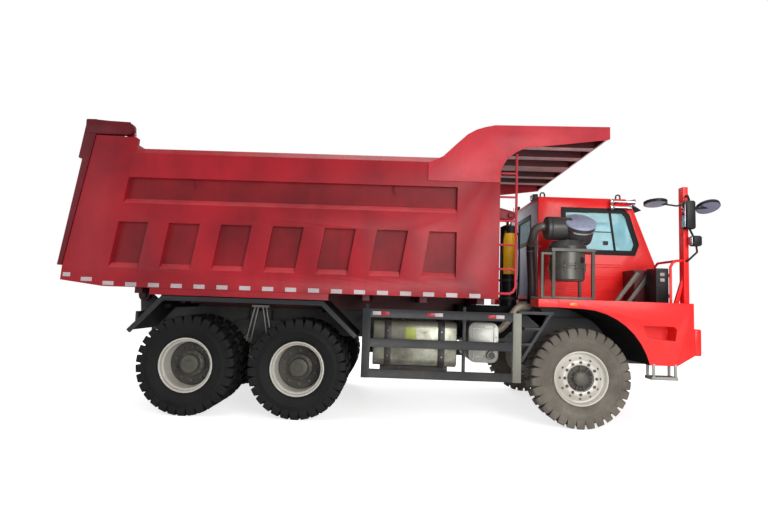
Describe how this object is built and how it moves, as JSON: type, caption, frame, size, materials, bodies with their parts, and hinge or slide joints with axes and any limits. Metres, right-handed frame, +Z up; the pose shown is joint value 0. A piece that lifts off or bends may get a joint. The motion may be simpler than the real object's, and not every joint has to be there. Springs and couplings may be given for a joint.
{
  "type": "mining dump truck",
  "caption": "Off-highway tipper with an offset cab, a ribbed rock bed with a canopy, a telescopic front hoist, twin rear wheels and a top-hung tailgate.",
  "frame": {"origin": "on the ground below the middle of the truck's outline", "axes": "+X to the front, +Y to the left side, +Z up"},
  "size_m": [9.0544, 3.342, 4.0972],
  "materials": {
    "red_paint": "semi-gloss",
    "dark_paint": "satin",
    "frame_paint": "satin",
    "grey_paint": "satin",
    "black_paint": "satin",
    "silver": "brushed",
    "rod_steel": "polished",
    "tyre": "rough",
    "hose": "matte",
    "glass": "clear",
    "trim": "matte"
  },
  "bodies": {
    "chassis": {"chassis_frame": "frame_paint", "front_axle": "frame_paint", "middle_axle": "frame_paint", "rear_axle": "frame_paint", "rear_suspension": "frame_paint", "side_guard_right": "frame_paint", "side_guard_left": "frame_paint", "engine_block": "black_paint", "tank_cradle": "black_paint", "radiator_grille": "black_paint", "control_cabinet": "black_paint", "mirrors_right": "black_paint", "mirrors_left": "black_paint", "fuel_tank": "silver", "exhaust_box": "silver", "fender_right": "red_paint", "fender_left": "red_paint", "front_bumper": "red_paint", "cab_shell": "red_paint", "deck_rails": "red_paint", "hood_panel": "dark_paint", "air_filter": "grey_paint", "filter_stand": "grey_paint", "precleaner": "grey_paint", "hood_stays": "grey_paint", "rear_mudguard_right": "grey_paint", "rear_mudguard_left": "grey_paint", "intake_hose": "hose", "windscreen": "glass", "right_window": "glass", "rear_window": "glass", "seat": "trim", "dashboard": "trim"},
    "bed": {"bed_floor": "dark_paint", "bed_side_right": "red_paint", "bed_side_left": "red_paint", "bed_front_wall": "red_paint", "canopy": "red_paint", "bed_ladder": "red_paint"},
    "tailgate": {"tailgate": "red_paint"},
    "cab_door": {"cab_door": "red_paint", "door_glass": "glass"},
    "hoist_tube": {"hoist_tube": "black_paint"},
    "hoist_stage_1": {"hoist_stage_1": "rod_steel"},
    "hoist_stage_2": {"hoist_stage_2": "rod_steel"},
    "hoist_rod": {"hoist_rod": "rod_steel"},
    "knuckle_right": {"knuckle_right": "frame_paint"},
    "knuckle_left": {"knuckle_left": "frame_paint"},
    "front_wheel_right": {"front_tyre_right": "tyre", "front_rim_right": "silver"},
    "middle_wheel_right": {"middle_right_tyres": "tyre", "middle_right_rim": "silver"},
    "rear_wheel_right": {"rear_right_tyres": "tyre", "rear_right_rim": "silver"},
    "front_wheel_left": {"front_tyre_left": "tyre", "front_rim_left": "silver"},
    "middle_wheel_left": {"middle_left_tyres": "tyre", "middle_left_rim": "silver"},
    "rear_wheel_left": {"rear_left_tyres": "tyre", "rear_left_rim": "silver"}
  },
  "joints": [
    {"name": "bed", "type": "hinge", "parent": "chassis", "child": "bed", "pos_m": [-3.8, 0, 1.57724], "axis": [0, -1, 0], "range_deg": [0, 45]},
    {"name": "tailgate", "type": "hinge", "parent": "bed", "child": "tailgate", "pos_m": [-3.7, 0, 3.87724], "axis": [0, 1, 0], "range_deg": [0, 60]},
    {"name": "hoist_tilt", "type": "hinge", "parent": "chassis", "child": "hoist_tube", "pos_m": [1.98, 0, 1.41724], "axis": [0, -1, 0], "range_deg": [0, 28]},
    {"name": "hoist_slide_1", "type": "slide", "parent": "hoist_tube", "child": "hoist_stage_1", "axis": [0, 0, 1], "range_m": [0, 1.46]},
    {"name": "hoist_slide_2", "type": "slide", "parent": "hoist_stage_1", "child": "hoist_stage_2", "axis": [0, 0, 1], "range_m": [0, 1.46]},
    {"name": "hoist_slide_3", "type": "slide", "parent": "hoist_stage_2", "child": "hoist_rod", "axis": [0, 0, 1], "range_m": [0, 1.46]},
    {"name": "cab_door", "type": "hinge", "parent": "chassis", "child": "cab_door", "pos_m": [3.945, 1.66, 1.68724], "axis": [0, 0, -1], "range_deg": [0, 70]},
    {"name": "steer_right", "type": "hinge", "parent": "chassis", "child": "knuckle_right", "pos_m": [2.6, -1.1175, 0.66724], "axis": [0, 0, 1], "range_deg": [-32, 32]},
    {"name": "front_wheel_right", "type": "hinge", "parent": "knuckle_right", "child": "front_wheel_right", "pos_m": [2.6, -1.4175, 0.66724], "axis": [0, 1, 0], "continuous": true},
    {"name": "middle_wheel_right", "type": "hinge", "parent": "chassis", "child": "middle_wheel_right", "pos_m": [-1.2, -1.281, 0.66724], "axis": [0, 1, 0], "continuous": true},
    {"name": "rear_wheel_right", "type": "hinge", "parent": "chassis", "child": "rear_wheel_right", "pos_m": [-2.7, -1.281, 0.66724], "axis": [0, 1, 0], "continuous": true},
    {"name": "steer_left", "type": "hinge", "parent": "chassis", "child": "knuckle_left", "pos_m": [2.6, 1.1175, 0.66724], "axis": [0, 0, 1], "range_deg": [-32, 32]},
    {"name": "front_wheel_left", "type": "hinge", "parent": "knuckle_left", "child": "front_wheel_left", "pos_m": [2.6, 1.4175, 0.66724], "axis": [0, 1, 0], "continuous": true},
    {"name": "middle_wheel_left", "type": "hinge", "parent": "chassis", "child": "middle_wheel_left", "pos_m": [-1.2, 1.281, 0.66724], "axis": [0, 1, 0], "continuous": true},
    {"name": "rear_wheel_left", "type": "hinge", "parent": "chassis", "child": "rear_wheel_left", "pos_m": [-2.7, 1.281, 0.66724], "axis": [0, 1, 0], "continuous": true}
  ],
  "couplings": [
    {"joint": "hoist_tilt", "follows": "bed", "ratio": 0.6106},
    {"joint": "hoist_slide_1", "follows": "bed", "m_per_rad": 1.8329},
    {"joint": "hoist_slide_2", "follows": "bed", "m_per_rad": 1.8329},
    {"joint": "hoist_slide_3", "follows": "bed", "m_per_rad": 1.8329},
    {"joint": "steer_left", "follows": "steer_right", "ratio": 1}
  ]
}
